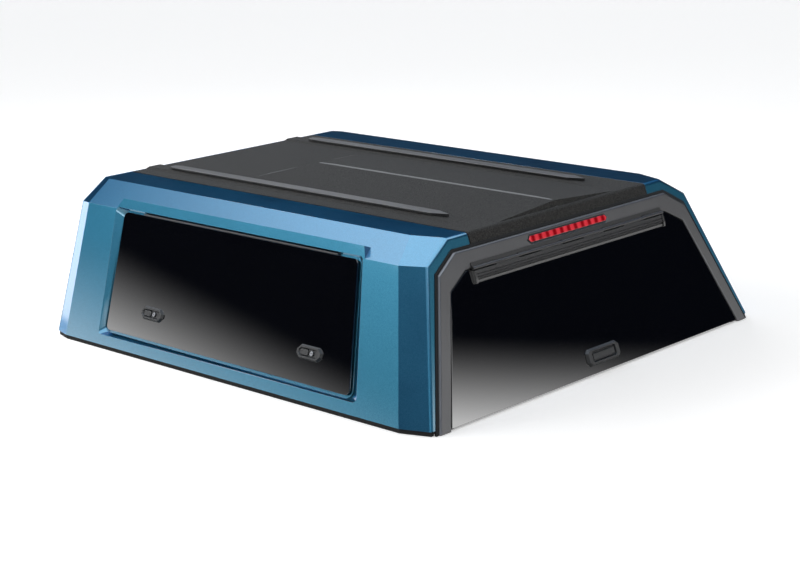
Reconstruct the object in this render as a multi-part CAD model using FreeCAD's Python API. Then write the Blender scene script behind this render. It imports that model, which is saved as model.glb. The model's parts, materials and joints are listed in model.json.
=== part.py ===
import FreeCAD
import Part
import math
import os

# A hard canopy for a pickup's load bed: painted side panels, a charcoal roof panel, a glass rear door
# and a glass door in each side, each held open by a pair of gas struts.
# Millimetres. X is right, Y is forward, Z is up from the underside of the base seal.

V = FreeCAD.Vector
BIG = 4000.0

# Outer form
LENGTH = 1814.0
BASE_SEAL_H = 15.0
SKIRT_HALF = 866.0
MAIN_RISE = 439.0
MAIN_LEAN_IN = 170.0
CHAMFER_RISE = 66.0
CHAMFER_IN = 109.0
ROOF_EDGE_HALF = 458.0
REAR_RAKE = math.radians(19.4)
FRONT_LEAN = math.radians(3.4)
SKIN = 6.0
FRAME_PROUD = 9.0

# Toed-in facets at the ends of each side: length along Y at the foot, shoulder and brow of the side,
# then how far the corner stands inboard of the kink at the foot and at the brow
REAR_FACET = {"foot": 98.0, "shoulder": 88.0, "brow": 114.0, "foot_in": 37.0, "brow_in": 40.0}
FRONT_FACET = {"foot": 70.0, "shoulder": 55.0, "brow": 43.0, "foot_in": 20.0, "brow_in": 15.0}

# Side door glass, the mouth of its pocket and the brow over it: Y along the side, Z above the floor
SIDE_GLASS = {"rear_low": (-559.0, 64.0), "front_low": (620.0, 67.0),
              "front_high": (664.0, 449.0), "rear_high": (-468.0, 449.0)}
POCKET_MOUTH = {"rear_low": (-608.0, 51.0), "front_low": (636.0, 47.0),
                "front_high": (694.0, 459.0), "rear_high": (-500.0, 459.0)}
BROW = {"rear_low": (-520.0, 430.0), "front_low": (712.0, 430.0),
        "front_high": (666.0, 490.0), "rear_high": (-496.0, 490.0)}
BROW_DEPTH = 60.0
GLASS_T = 5.0
SIDE_GLASS_SUNK = 16.0
SIDE_SEAL_T = 4.0
PAN_WALL = 6.0
POCKET_GAP = 8.0
HINGE_GAP = 8.0
GLASS_CORNER_R = 26.0
MOUTH_CORNER_R = 14.0
LEDGE = 24.0
HINGE_LEDGE = 42.0
SEAL_IN = 8.0
SEAL_W = 12.0
HINGE_SEAL_IN = 26.0

# Rear frame, its opening and the glass in it: how far in from the body's skirt, shoulder and brow
# the foot, shoulder and top of each stand, and their Z
FRAME_OUTER = {"foot": (60.0, 0.0), "shoulder": (62.0, 424.0), "top": (44.0, 476.0)}
FRAME_INNER = {"foot": (110.0, 0.0), "shoulder": (93.0, 372.0), "top": (71.0, 418.0)}
FRAME_BEVEL = 5.0
REAR_CORNER_R = 14.0
FRAME_DEPTH = 30.0
FRAME_GASKET_W = 10.0
FRAME_LIP = 12.0
REAR_GLASS_GAP = 4.0
REAR_GLASS_OUT = 7.0
REAR_GLASS_FOOT = 7.0
REAR_SEAL_T = 5.0
REAR_SEAL_IN = 6.0
REAR_SEAL_W = 14.0

# Hinges: barrel, pin and running clearance, and each axis from the glass edge and outer face
BARREL_R = 5.0
SIDE_BARREL_R = 3.5
PIN_SHARE = 0.5
RUNNING = 0.3
AXIS_GAP = 0.6
REAR_AXIS_N = 15.0
REAR_AXIS_ABOVE = 2.0
REAR_HINGE_HALF = 490.0
REAR_KNUCKLES = 9
HINGE_LEAF = 14.0
HINGE_RAIL_H = 46.0
HINGE_RAIL_T = 9.0
HINGE_RAIL_LIP = 8.0
HINGE_RIBS = 2
HINGE_RIB_PITCH = 8.0
HINGE_CAP_W = 9.0
SIDE_AXIS_N = -17.0
SIDE_AXIS_ABOVE = 3.8
SIDE_HINGE_Y = (-380.0, 560.0)
SIDE_KNUCKLES = 9
SIDE_LEAF = 18.0

# Door travel in degrees from closed
REAR_OPEN = 75.0
SIDE_OPEN = 75.0

# Gas struts: fixed eye and door stud from the hinge axis, out of and up the panel
STRUT_ANCHOR = (-30.0, -70.0)
STRUT_STUD = (-26.0, -330.0)
TUBE_R = 8.0
ROD_R = 4.0
EYE_R = 8.0
EYE_T = 10.0
EYE_BORE_R = 4.3
STRUT_PIN_R = 4.0
STUD_PLATE_W = 26.0
TUBE_SHORT = 34.0
TUBE_END = 12.0
REAR_STRUT_X = 560.0
SIDE_STRUT_Y = {"front": 574.0, "rear": -438.0}
FOOT_REACH = {"front": 60.0, "rear": 48.0}

# Locks, handle and lamp
SIDE_LOCKS = [(-358.0, 155.0), (400.0, 150.0)]
LOCK_W = 110.0
LOCK_H = 46.0
LOCK_CORNER = 15.0
LOCK_PROUD = 9.0
LOCK_RIM = 9.0
KEY_R = 8.0
LOCK_BLOCK = {"half_w": 30.0, "half_u": 15.0, "depth": 16.0}
LOCK_CAM = {"behind": 12.0, "ahead": 62.0, "half_u": 9.0, "thick": 4.0}
HANDLE_W = 168.0
HANDLE_H = 58.0
HANDLE_CORNER = 12.0
HANDLE_RIM = 22.0
HANDLE_Z = 56.0
HANDLE_PROUD = 9.0
LATCH_BOX = {"half_w": 70.0, "half_u": 22.0, "depth": 18.0}
LATCH_BOLT = {"start": 60.0, "end": 690.0, "radius": 4.0}
BOLT_GUIDE = {"start": 640.0, "end": 676.0, "half_u": 14.0, "depth": 16.0}
LAMP_HALF = 201.0
LAMP_HALF_H = 10.0
LAMP_Z = 451.0

# Roof tracks on their plinths: a cap over a narrower stem, whose edges crossbar feet grip
TRACK_X = 348.0
TRACK_Y = (-545.0, 797.0)
CAP_W = 45.0
CAP_T = 4.0
STEM_W = 30.0
STEM_H = 6.0
TRACK_POINT = 60.0
PLINTH_H = 6.0
PLINTH_FOOT_W = 86.0
PLINTH_TOP_W = 52.0
PLINTH_REAR = -603.0
PLINTH_FADE = 90.0

# Roof panel: its low crown, with a ridge from the rear edge to a hip, and the seam beside it
CROWN_HALF = 300.0
CROWN_RISE = 20.0
CROWN_FRONT = 457.0
CROWN_HIP = 60.0
SEAM_W = 6.0
SEAM_SUNK = 2.0

# Base rails and seal
RAIL_LEG = 18.0
RAIL_T = 5.0
RAIL_W = 72.0
CLAMP_HOLE_R = 5.0
CLAMP_HOLES_Y = (-600.0, -200.0, 200.0, 600.0)
CLAMP_HOLE_IN = 50.0
CLAMP_HOLE_SLACK = 3.0
SEAL_SET_IN = 4.0

# Front window and roof braces
FRONT_WINDOW = {"half_low": 440.0, "half_high": 400.0, "low": 150.0, "high": 400.0}
FRONT_WINDOW_R = 45.0
FRONT_SEAL_LAP = 8.0
FRONT_SEAL_STAND = 5.0
BRACE_DEPTH = 18.0
BRACE_W = 50.0
BRACE_FOOT = 480.0
BRACES_Y = (-300.0, 200.0)

TOP_Z = BASE_SEAL_H + MAIN_RISE + CHAMFER_RISE
SHOULDER_Z = BASE_SEAL_H + MAIN_RISE
SHOULDER_HALF = SKIRT_HALF - MAIN_LEAN_IN
BROW_HALF = SHOULDER_HALF - CHAMFER_IN
SIDE_LEAN = math.atan2(MAIN_LEAN_IN, MAIN_RISE)
FLOOR_N = -(SIDE_GLASS_SUNK + GLASS_T + SIDE_SEAL_T)
PAN_N = FLOOR_N - PAN_WALL


def inset(outline, by):
    """Moves each edge of a counter-clockwise outline inwards; by is one distance, or one for each edge."""
    count = len(outline)
    distances = by if isinstance(by, (list, tuple)) else [by] * count
    lines = []
    for i, (x0, y0) in enumerate(outline):
        x1, y1 = outline[(i + 1) % count]
        length = math.hypot(x1 - x0, y1 - y0)
        nx = -(y1 - y0) / length
        ny = (x1 - x0) / length
        lines.append((nx, ny, nx * x0 + ny * y0 + distances[i]))
    corners = []
    for i in range(count):
        ax, ay, ac = lines[i - 1]
        bx, by_, bc = lines[i]
        det = ax * by_ - ay * bx
        corners.append(((ac * by_ - bc * ay) / det, (ax * bc - bx * ac) / det))
    return corners


class Panel:
    """A flat working plane on the canopy: w runs along it, u up it and n out of it."""

    def __init__(self, origin, w, u):
        self.origin = origin
        self.w = w
        self.u = u
        self.n = w.cross(u)

    def at(self, w, u, n=0.0):
        return self.origin + self.w * w + self.u * u + self.n * n

    def wire(self, outline, n, radius=0.0):
        """A closed wire round an outline at height n, with each corner rounded by an arc."""
        count = len(outline)
        flats = []
        for i in range(count):
            corner = V(*outline[i], 0)
            back = (V(*outline[i - 1], 0) - corner).normalize()
            ahead = (V(*outline[(i + 1) % count], 0) - corner).normalize()
            half = back.getAngle(ahead) / 2
            reach = radius / math.tan(half)
            middle = (back + ahead).normalize() * (radius / math.sin(half) - radius)
            flats.append([corner + back * reach, corner + middle, corner + ahead * reach])
        edges = []
        for i, corner in enumerate(flats):
            start, middle, end = [self.at(p.x, p.y, n) for p in corner]
            following = flats[(i + 1) % count][0]
            if radius > 0:
                edges.append(Part.Arc(start, middle, end).toShape())
            edges.append(Part.makeLine(end, self.at(following.x, following.y, n)))
        return Part.Wire(edges)

    def slab(self, outline, low, high, radius=0.0):
        """An outline pushed out from n = low to n = high."""
        return Part.Face(self.wire(outline, low, radius)).extrude(self.n * (high - low))

    def taper(self, outline_low, low, radius_low, outline_high, high, radius_high):
        """A solid between two outlines with as many corners each."""
        return Part.makeLoft([self.wire(outline_low, low, radius_low),
                              self.wire(outline_high, high, radius_high)], True, True)

    def block(self, w, u, n):
        """A box between pairs of values along w, u and n."""
        w0, w1 = sorted(w)
        outline = [(w0, u[0]), (w1, u[0]), (w1, u[1]), (w0, u[1])]
        return self.slab(outline, n[0], n[1])

    def round_bar(self, start, end, radius):
        """A round bar between two (w, u, n) points."""
        foot = self.at(*start)
        way = self.at(*end) - foot
        return Part.makeCylinder(radius, way.Length, foot, way)

    def extrusion(self, profile, w0, w1):
        """A (n, u) profile run along w."""
        points = [self.at(w0, u, n) for n, u in profile]
        return Part.Face(Part.makePolygon(points + points[:1])).extrude(self.w * (w1 - w0))


def rear_y(z):
    """Y of the painted rear plane at height z; the frame's foot stands proud of it."""
    return -LENGTH / 2 + FRAME_PROUD / math.cos(REAR_RAKE) + z * math.tan(REAR_RAKE)


def front_y(z):
    """Y of the front wall's outer face at height z."""
    return LENGTH / 2 - (TOP_Z - z) * math.tan(FRONT_LEAN)


side = Panel(V(SKIRT_HALF, 0, BASE_SEAL_H), V(0, 1, 0), V(-math.sin(SIDE_LEAN), 0, math.cos(SIDE_LEAN)))
rear = Panel(V(0, rear_y(0), 0), V(1, 0, 0), V(0, math.sin(REAR_RAKE), math.cos(REAR_RAKE)))
front = Panel(V(0, front_y(0), 0), V(-1, 0, 0), V(0, math.sin(FRONT_LEAN), math.cos(FRONT_LEAN)))


def mirrored(shape):
    return shape.mirror(V(0, 0, 0), V(1, 0, 0))


def beyond(point, normal, moved_in=0.0):
    """A block filling all that lies outside a plane moved inwards."""
    block = Part.makeBox(BIG, BIG, BIG, V(-BIG / 2, -BIG / 2, 0))
    start = point - normal * moved_in
    block.Placement = FreeCAD.Placement(start, FreeCAD.Rotation(V(0, 0, 1), normal))
    return block


def between(low, high):
    """A box between two corners."""
    size = high - low
    return Part.makeBox(size.x, size.y, size.z, low)


def fused(shapes):
    result = shapes[0]
    for shape in shapes[1:]:
        result = result.fuse(shape)
    return result.removeSplitter()


def facet_planes(facet, end_y, inward):
    """The two planes of a toed-in end: over the leaning side, and over the chamfer above it."""
    kink_foot = V(SKIRT_HALF, end_y(BASE_SEAL_H) + inward * facet["foot"], BASE_SEAL_H)
    kink_shoulder = V(SHOULDER_HALF, end_y(SHOULDER_Z) + inward * facet["shoulder"], SHOULDER_Z)
    kink_brow = V(BROW_HALF, end_y(TOP_Z) + inward * facet["brow"], TOP_Z)
    corner_foot = V(SKIRT_HALF - facet["foot_in"], end_y(BASE_SEAL_H), BASE_SEAL_H)
    corner_brow = V(BROW_HALF - facet["brow_in"], end_y(TOP_Z), TOP_Z)
    planes = []
    for a, b, c in ((kink_foot, kink_shoulder, corner_foot), (kink_shoulder, kink_brow, corner_brow)):
        normal = (b - a).cross(c - a).normalize()
        if normal.x < 0:
            normal = normal * -1
        planes.append((a, normal))
    return planes


def body(moved_in=0.0, floor=BASE_SEAL_H):
    """The canopy's closed outer form, or the same form moved in by a wall's thickness."""
    section = [(-SKIRT_HALF, BASE_SEAL_H), (SKIRT_HALF, BASE_SEAL_H), (SHOULDER_HALF, SHOULDER_Z),
               (BROW_HALF, TOP_Z), (-BROW_HALF, TOP_Z), (-SHOULDER_HALF, SHOULDER_Z)]
    section = inset(section, [floor - BASE_SEAL_H] + [moved_in] * 5)
    points = [V(x, -BIG / 2, z) for x, z in section]
    solid = Part.Face(Part.makePolygon(points + points[:1])).extrude(V(0, BIG, 0))
    planes = facet_planes(REAR_FACET, rear_y, 1) + facet_planes(FRONT_FACET, front_y, -1)
    for point, normal in planes:
        outside = beyond(point, normal, moved_in)
        solid = solid.cut(outside).cut(mirrored(outside))
    solid = solid.cut(beyond(rear.origin, rear.n, moved_in))
    return solid.cut(beyond(front.origin, front.n, moved_in))


def rounded_rear(solid):
    """The form with its corners into the rear plane rounded, down to the floor."""
    edges = []
    for edge in solid.Edges:
        ends = [vertex.Point for vertex in edge.Vertexes]
        on_rear = all(abs((point - rear.origin).dot(rear.n)) < 0.1 for point in ends)
        if on_rear and max(point.z for point in ends) > BASE_SEAL_H + 1:
            edges.append(edge)
    return solid.makeFillet(REAR_CORNER_R, edges)


def brow(moved_in=0.0):
    """The drip brow over the right window, which runs the side's main plane up past the shoulder."""
    return side.slab(inset(side_outline(BROW), moved_in), -BROW_DEPTH, -moved_in)


def frame_outline(table):
    """A frame outline on the rear plane, run on below the floor."""
    levels = (SKIRT_HALF, table["foot"]), (SHOULDER_HALF, table["shoulder"]), (BROW_HALF, table["top"])
    half = [(width - inboard, z / math.cos(REAR_RAKE)) for width, (inboard, z) in levels]
    outline = [(-half[0][0], half[0][1])] + half + [(-w, u) for w, u in reversed(half[1:])]
    return inset(outline, [-2 * FRAME_DEPTH, 0, 0, 0, 0, 0])


def side_outline(table):
    """An outline on the side panel from its table of Y and Z."""
    rise = math.cos(SIDE_LEAN)
    return [(y, (z - BASE_SEAL_H) / rise) for y, z in
            (table["rear_low"], table["front_low"], table["front_high"], table["rear_high"])]


outer = rounded_rear(body())
hollow = body(SKIN, floor=-BASE_SEAL_H)
front_slab = beyond(front.origin, front.n, SKIN)
below_floor = beyond(V(0, 0, 0), V(0, 0, -1))
frame_edge = frame_outline(FRAME_OUTER)
opening = frame_outline(FRAME_INNER)
side_glass_edge = side_outline(SIDE_GLASS)
pocket_floor = inset(side_glass_edge, [-POCKET_GAP, -POCKET_GAP, -HINGE_GAP, -POCKET_GAP])
doorway = inset(side_glass_edge, [LEDGE, LEDGE, HINGE_LEDGE, LEDGE])
rear_axis_u = FRAME_INNER["top"][1] / math.cos(REAR_RAKE) - REAR_GLASS_GAP + REAR_AXIS_ABOVE
side_axis_u = side_glass_edge[2][1] + SIDE_AXIS_ABOVE


def shell():
    """The canopy's skin with its rear flange, open below and at the rear frame."""
    return rear_opened(outer.cut(hollow).cut(front_slab))


def rear_opened(skin):
    return skin.cut(rear.slab(inset(frame_edge, -FRAME_GASKET_W), -FRAME_DEPTH - SKIN, FRAME_PROUD))


def side_panel(skin):
    """The right side: skin, brow, pan round the window pocket, pocket and doorway."""
    panel = skin.common(between(V(ROOF_EDGE_HALF, -LENGTH, 0), V(SKIRT_HALF + SKIN, LENGTH, TOP_Z + SKIN)))
    panel = panel.fuse(brow()).cut(brow(SKIN))
    mouth = side_outline(POCKET_MOUTH)
    pan = side.taper(inset(pocket_floor, -PAN_WALL), PAN_N, GLASS_CORNER_R + PAN_WALL,
                     inset(mouth, -PAN_WALL), 0.0, MOUTH_CORNER_R + PAN_WALL)
    pocket = side.taper(pocket_floor, FLOOR_N, GLASS_CORNER_R, mouth, 0.0, MOUTH_CORNER_R)
    panel = panel.fuse(pan.common(outer.fuse(brow()))).cut(pocket)
    return panel.cut(side.slab(doorway, PAN_N - SKIN, 0.0, GLASS_CORNER_R))


def roof_panel(skin):
    """The charcoal panel between the seams, with its crown, its plinths and its drop to the rear frame."""
    half = ROOF_EDGE_HALF - SEAM_W
    flat = skin.common(between(V(-half, -LENGTH, FRAME_OUTER["shoulder"][1]), V(half, LENGTH, TOP_Z + SKIN)))
    raised = crown().cut(beyond(rear.origin, rear.n, REAR_CORNER_R)).cut(front_slab)
    cavity = crown(-SKIN).cut(beyond(rear.origin, rear.n, REAR_CORNER_R + SKIN)).cut(front_slab)
    panel = flat.fuse(raised).cut(cavity)
    return fused([panel, plinth(), mirrored(plinth())])


def crown(lift=0.0):
    """A long low hip: its ridge runs back from the hip, past the rear edge."""
    base = TOP_Z + lift
    corners = [V(x, y, base) for x, y in ((-CROWN_HALF, -LENGTH), (CROWN_HALF, -LENGTH),
                                          (CROWN_HALF, CROWN_FRONT), (-CROWN_HALF, CROWN_FRONT))]
    ridge = [V(0, y, base + CROWN_RISE) for y in (-LENGTH, CROWN_FRONT - CROWN_HIP)]
    rear_left, rear_right, front_right, front_left = corners
    faces = [corners, [rear_left, rear_right, ridge[0]], [rear_right, front_right, ridge[1], ridge[0]],
             [front_right, front_left, ridge[1]], [front_left, rear_left, ridge[0], ridge[1]]]
    return Part.makeSolid(Part.makeShell([Part.Face(Part.makePolygon(f + f[:1])) for f in faces]))


def plinth():
    """The tapered plinth under the right track, which sinks into the roof at its rear end."""
    foot = PLINTH_FOOT_W / 2
    top = PLINTH_TOP_W / 2
    front_end = front_y(TOP_Z) - SKIN
    corners = {}
    for level, half, rear_end in ((0, foot, PLINTH_REAR), (PLINTH_H, top, PLINTH_REAR + PLINTH_FADE)):
        corners[level] = [V(TRACK_X + x, y, TOP_Z + level) for x, y in
                          ((-half, rear_end), (half, rear_end), (half, front_end), (-half, front_end))]
    wires = [Part.makePolygon(c + c[:1]) for c in corners.values()]
    return Part.makeLoft(wires, True, True)


def roof_seam(skin_below):
    """The dark bead between the roof panel and the right painted strip, a little below both."""
    return skin_below.common(between(V(ROOF_EDGE_HALF - SEAM_W, -LENGTH, FRAME_OUTER["shoulder"][1]),
                                     V(ROOF_EDGE_HALF, LENGTH, TOP_Z)))


def roof_track():
    """The right track: a cap on a narrower stem, with pointed ends."""
    foot = TOP_Z + PLINTH_H
    layers = []
    for width, low, high in ((STEM_W, foot, foot + STEM_H), (CAP_W, foot + STEM_H, foot + STEM_H + CAP_T)):
        half = width / 2
        rear_end, front_end = TRACK_Y
        plan = [(0, rear_end), (half, rear_end + TRACK_POINT), (half, front_end - TRACK_POINT / 2),
                (half / 2, front_end), (-half / 2, front_end), (-half, front_end - TRACK_POINT / 2),
                (-half, rear_end + TRACK_POINT)]
        corners = [V(TRACK_X + x, y, low) for x, y in plan]
        layers.append(Part.Face(Part.makePolygon(corners + corners[:1])).extrude(V(0, 0, high - low)))
    return fused(layers)


def front_parts():
    """The front wall, its bonded window and the seal between them."""
    window = FRONT_WINDOW
    outline = [(-window["half_low"], window["low"]), (window["half_low"], window["low"]),
               (window["half_high"], window["high"]), (-window["half_high"], window["high"])]
    wall = outer.common(front_slab)
    wall = wall.cut(front.slab(outline, -2 * SKIN, SKIN, FRONT_WINDOW_R))
    glass = front.slab(inset(outline, FRONT_SEAL_LAP / 2), -SKIN / 2 - GLASS_T / 2, -SKIN / 2 + GLASS_T / 2,
                       FRONT_WINDOW_R)
    seal = front.slab(inset(outline, -FRONT_SEAL_LAP), -SKIN - FRONT_SEAL_STAND, FRONT_SEAL_STAND, FRONT_WINDOW_R)
    seal = seal.cut(front.slab(inset(outline, 2 * FRONT_SEAL_LAP), -BIG / 100, BIG / 100, FRONT_WINDOW_R))
    return wall, glass, seal.cut(wall).cut(glass)


def rear_frame():
    """The faceted surround: outer face, rebate for the glass, ledge behind it and clamping lip."""
    shoulder_n = FRAME_PROUD - FRAME_BEVEL
    top_edge = inset(frame_edge, [0] + [FRAME_BEVEL] * 5)
    ring = rear.slab(frame_edge, -FRAME_DEPTH, shoulder_n)
    ring = ring.fuse(rear.taper(frame_edge, shoulder_n, 0.0, top_edge, FRAME_PROUD, 0.0))
    lip = rear.slab(inset(frame_edge, -FRAME_LIP), -SKIN - SKIN, -SKIN)
    lip = lip.cut(beyond(V(0, 0, BASE_SEAL_H), V(0, 0, -1)))
    solid = ring.fuse(lip)
    solid = solid.cut(rear.slab(opening, REAR_GLASS_OUT - GLASS_T - REAR_SEAL_T, 2 * FRAME_PROUD))
    solid = solid.cut(rear.slab(inset(opening, LEDGE), -2 * FRAME_DEPTH, 2 * FRAME_PROUD))
    return solid.cut(below_floor)


def lamp_outline(grown=0.0):
    outline = [(-LAMP_HALF + LAMP_HALF_H, -LAMP_HALF_H), (LAMP_HALF - LAMP_HALF_H, -LAMP_HALF_H),
               (LAMP_HALF, 0), (LAMP_HALF - LAMP_HALF_H, LAMP_HALF_H),
               (-LAMP_HALF + LAMP_HALF_H, LAMP_HALF_H), (-LAMP_HALF, 0)]
    raised = [(w, u + LAMP_Z / math.cos(REAR_RAKE)) for w, u in outline]
    return inset(raised, -grown)


def lamp_parts(frame):
    """The brake lamp's housing and lens, let into the frame's header."""
    bed = FRAME_PROUD - SKIN
    seat = rear.slab(lamp_outline(4.0), bed, 2 * FRAME_PROUD)
    well = rear.slab(lamp_outline(), bed + 2, 2 * FRAME_PROUD)
    housing = rear.slab(lamp_outline(4.0), bed, FRAME_PROUD + 1).cut(well)
    lens = rear.slab(lamp_outline(), bed + 2, FRAME_PROUD + 2)
    return frame.cut(seat), housing, lens


def rear_seals():
    """The gasket round the frame and the door seal on the frame's ledge."""
    ledge = REAR_GLASS_OUT - GLASS_T - REAR_SEAL_T
    gasket = rear.slab(inset(frame_edge, -FRAME_GASKET_W), -SKIN, SKIN / 2).cut(rear.slab(frame_edge, -SKIN, SKIN))
    gasket = gasket.cut(below_floor)
    seal = rear.slab(inset(opening, REAR_SEAL_IN), ledge, ledge + REAR_SEAL_T)
    seal = seal.cut(rear.slab(inset(opening, REAR_SEAL_IN + REAR_SEAL_W), ledge - 1, ledge + 2 * REAR_SEAL_T))
    return gasket, seal.cut(beyond(V(0, 0, REAR_GLASS_FOOT), V(0, 0, -1)))


def knuckles(panel, axis, span, count, radius, leaf_side, web):
    """Barrels along an axis for one leaf of a hinge: every second one, starting at leaf_side."""
    axis_n, axis_u = axis
    step = (span[1] - span[0]) / count
    shapes = []
    for i in range(leaf_side, count, 2):
        start = span[0] + i * step + (AXIS_GAP / 2 if i > 0 else 0)
        end = span[0] + (i + 1) * step - (AXIS_GAP / 2 if i < count - 1 else 0)
        barrel = panel.round_bar((start, axis_u, axis_n), (end, axis_u, axis_n), radius)
        shapes.append(barrel.fuse(panel.block((start, end), web[1], web[0])))
    return shapes


def hinge(panel, axis, span, count, radius, fixed, moving):
    """Both halves of a long hinge; fixed and moving each give a leaf solid and a web's n and u spans."""
    axis_n, axis_u = axis
    pin_r = radius * PIN_SHARE
    pin = panel.round_bar((span[0], axis_u, axis_n), (span[1], axis_u, axis_n), pin_r)
    bore = panel.round_bar((span[0] - 1, axis_u, axis_n), (span[1] + 1, axis_u, axis_n), pin_r + RUNNING)
    carried = fused([moving[0]] + knuckles(panel, axis, span, count, radius, 1, moving[1]))
    standing = fused([fixed[0]] + knuckles(panel, axis, span, count, radius, 0, fixed[1]) + [pin])
    return standing, carried.cut(bore)


def rear_hinge():
    """The header's leaf, and the ribbed rail along the top of the glass."""
    span = (-REAR_HINGE_HALF, REAR_HINGE_HALF)
    u = rear_axis_u
    leaf = rear.block(span, (u + BARREL_R + 2, u + BARREL_R + HINGE_LEAF), (FRAME_PROUD, FRAME_PROUD + 3))
    web = ((FRAME_PROUD, REAR_AXIS_N), (u, u + BARREL_R + 3))
    glass_n = REAR_GLASS_OUT
    top_n = glass_n + HINGE_RAIL_T
    foot = u - HINGE_RAIL_H
    lip = foot + HINGE_RAIL_LIP
    profile = [(glass_n, foot), (glass_n + 5, foot + 1.5), (glass_n + 6, lip), (glass_n + 3, lip + 2),
               (glass_n + 3, lip + 4), (top_n, lip + 6)]
    for rib in range(HINGE_RIBS):
        low = lip + 7.5 + rib * HINGE_RIB_PITCH
        profile += [(top_n, low), (top_n - 2, low + 1.5), (top_n - 2, low + 2.5), (top_n, low + 4)]
    profile += [(top_n, u - BARREL_R - 3), (glass_n, u - BARREL_R - 1)]
    rail = rear.extrusion(profile, *span)
    cap_outline = [(glass_n, foot - 2), (glass_n + 8, foot - 1), (top_n + 1.5, lip + 5), (top_n + 1.5, u - BARREL_R - 3),
                   (glass_n, u - BARREL_R - 1)]
    for end in (span[0], span[1] - HINGE_CAP_W):
        rail = rail.fuse(rear.extrusion(cap_outline, end, end + HINGE_CAP_W))
    moving_web = ((glass_n, REAR_AXIS_N), (u - BARREL_R - 4, u))
    return hinge(rear, (REAR_AXIS_N, u), span, REAR_KNUCKLES, BARREL_R, (leaf, web), (rail, moving_web))


def side_hinge():
    """The pan's leaf, and the leaf bonded behind the top of the side glass."""
    u = side_axis_u
    r = SIDE_BARREL_R
    inner = -(SIDE_GLASS_SUNK + GLASS_T)
    leaf_top = u + HINGE_GAP - SIDE_AXIS_ABOVE - RUNNING
    fixed_leaf = side.block(SIDE_HINGE_Y, (u + 1, leaf_top), (FLOOR_N, FLOOR_N + 3))
    fixed_web = ((FLOOR_N, SIDE_AXIS_N), (u + 0.5, u + r))
    moving_leaf = side.block(SIDE_HINGE_Y, (u - SIDE_AXIS_ABOVE - SIDE_LEAF, u - r + 1), (inner - 2.5, inner))
    moving_web = ((inner - 2.5, SIDE_AXIS_N), (u - SIDE_AXIS_ABOVE + 0.5, u))
    return hinge(side, (SIDE_AXIS_N, u), SIDE_HINGE_Y, SIDE_KNUCKLES, r, (fixed_leaf, fixed_web),
                 (moving_leaf, moving_web))


def rear_glass():
    outline = inset(opening, REAR_GLASS_GAP)
    glass = rear.slab(outline, REAR_GLASS_OUT - GLASS_T, REAR_GLASS_OUT, 6.0)
    return glass.cut(beyond(V(0, 0, REAR_GLASS_FOOT), V(0, 0, -1)))


def side_glass():
    return side.slab(side_glass_edge, -SIDE_GLASS_SUNK - GLASS_T, -SIDE_GLASS_SUNK, GLASS_CORNER_R - POCKET_GAP)


def side_seal():
    """A ring on the pocket's floor, dropped along the top to pass below the hinge leaf."""
    outer_edge = inset(side_glass_edge, [SEAL_IN, SEAL_IN, HINGE_SEAL_IN, SEAL_IN])
    ring = side.slab(outer_edge, FLOOR_N, FLOOR_N + SIDE_SEAL_T, GLASS_CORNER_R / 2)
    return ring.cut(side.slab(inset(outer_edge, SEAL_W), FLOOR_N - 1, FLOOR_N + 2 * SIDE_SEAL_T, GLASS_CORNER_R / 2))


def octagon(width, height, cut, w, u):
    """A rectangle with its corners cut, centred on (w, u)."""
    x = width / 2
    y = height / 2
    corners = [(-x + cut, -y), (x - cut, -y), (x, -y + cut), (x, y - cut),
               (x - cut, y), (-x + cut, y), (-x, y - cut), (-x, -y + cut)]
    return [(w + a, u + b) for a, b in corners]


def side_locks():
    """The two paddle locks on a side door: a proud housing outside, a block and cam inside."""
    shapes = []
    for y, z in SIDE_LOCKS:
        u = (z - BASE_SEAL_H) / math.cos(SIDE_LEAN)
        face = -SIDE_GLASS_SUNK
        foot = octagon(LOCK_W, LOCK_H, LOCK_CORNER, y, u)
        top_n = face + LOCK_PROUD
        case = side.taper(foot, face, 0, inset(foot, LOCK_RIM / 2), top_n, 0)
        well = top_n - LOCK_PROUD / 2
        dish = side.taper(inset(foot, 1.4 * LOCK_RIM), well, 0, inset(foot, LOCK_RIM), top_n + 1, 0)
        paddle = octagon(LOCK_W / 3, LOCK_H / 2.2, LOCK_CORNER / 3, y + LOCK_W / 6, u)
        paddle = side.taper(paddle, well, 0, inset(paddle, 1.5), top_n - 1, 0)
        key = side.round_bar((y - LOCK_W / 8, u, well - 1), (y - LOCK_W / 8, u, top_n - 1), KEY_R)
        shapes.append(fused([case.cut(dish), paddle, key]))
        inner = face - GLASS_T
        back = inner - LOCK_BLOCK["depth"]
        block = side.block((y - LOCK_BLOCK["half_w"], y + LOCK_BLOCK["half_w"]),
                           (u - LOCK_BLOCK["half_u"], u + LOCK_BLOCK["half_u"]), (back, inner))
        cam = side.block((y - LOCK_CAM["behind"], y + LOCK_CAM["ahead"]),
                         (u - LOCK_CAM["half_u"], u + LOCK_CAM["half_u"]), (back - LOCK_CAM["thick"], back))
        shapes.append(block.fuse(cam))
    return Part.makeCompound(shapes)


def rear_handle():
    """The slam latch's housing on the glass and the paddle in its dish."""
    u = HANDLE_Z / math.cos(REAR_RAKE)
    face = REAR_GLASS_OUT
    top_n = FRAME_PROUD + HANDLE_PROUD
    foot = octagon(HANDLE_W, HANDLE_H, HANDLE_CORNER, 0, u)
    case = rear.taper(foot, face, 0, inset(foot, HANDLE_CORNER / 2), top_n, 0)
    dish = octagon(HANDLE_W - 2 * HANDLE_RIM, HANDLE_H - HANDLE_RIM, HANDLE_CORNER / 2, 0, u)
    case = case.cut(rear.taper(inset(dish, 3.0), face + 3, 0, dish, top_n + 1, 0))
    paddle = rear.taper(inset(dish, 6.0), face + 3, 0, inset(dish, 8.0), top_n - 2.5, 0)
    return case, paddle


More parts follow.
